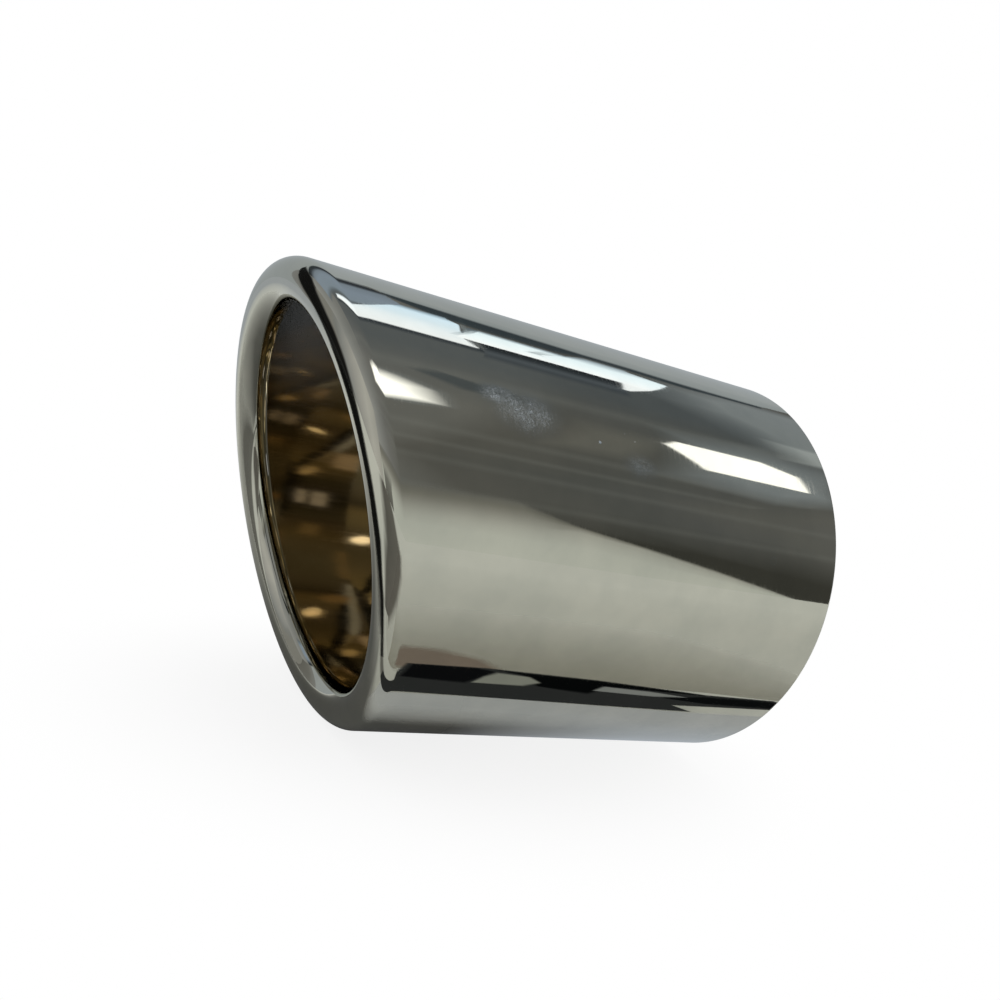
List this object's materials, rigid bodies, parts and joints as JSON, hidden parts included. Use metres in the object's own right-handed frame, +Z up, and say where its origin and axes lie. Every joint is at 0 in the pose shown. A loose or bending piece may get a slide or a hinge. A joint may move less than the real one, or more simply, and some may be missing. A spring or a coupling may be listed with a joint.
{
  "type": "exhaust tip",
  "caption": "Slash-cut round exhaust tip: a mirror-polished steel tube with its mouth rolled inwards into a bead, fixed over the end of a tailpipe.",
  "frame": {"origin": "centre of the square-cut inlet end, where the tailpipe goes in", "axes": "+X along the tube, out of the inlet towards the car; the gases leave towards -X; +Z up, with the long side of the slash cut on top"},
  "size_m": [0.101, 0.0762, 0.0762],
  "materials": {
    "polished_steel": "mirror-polished stainless steel"
  },
  "bodies": {
    "root": {"tip_shell": "polished_steel"}
  },
  "joints": []
}
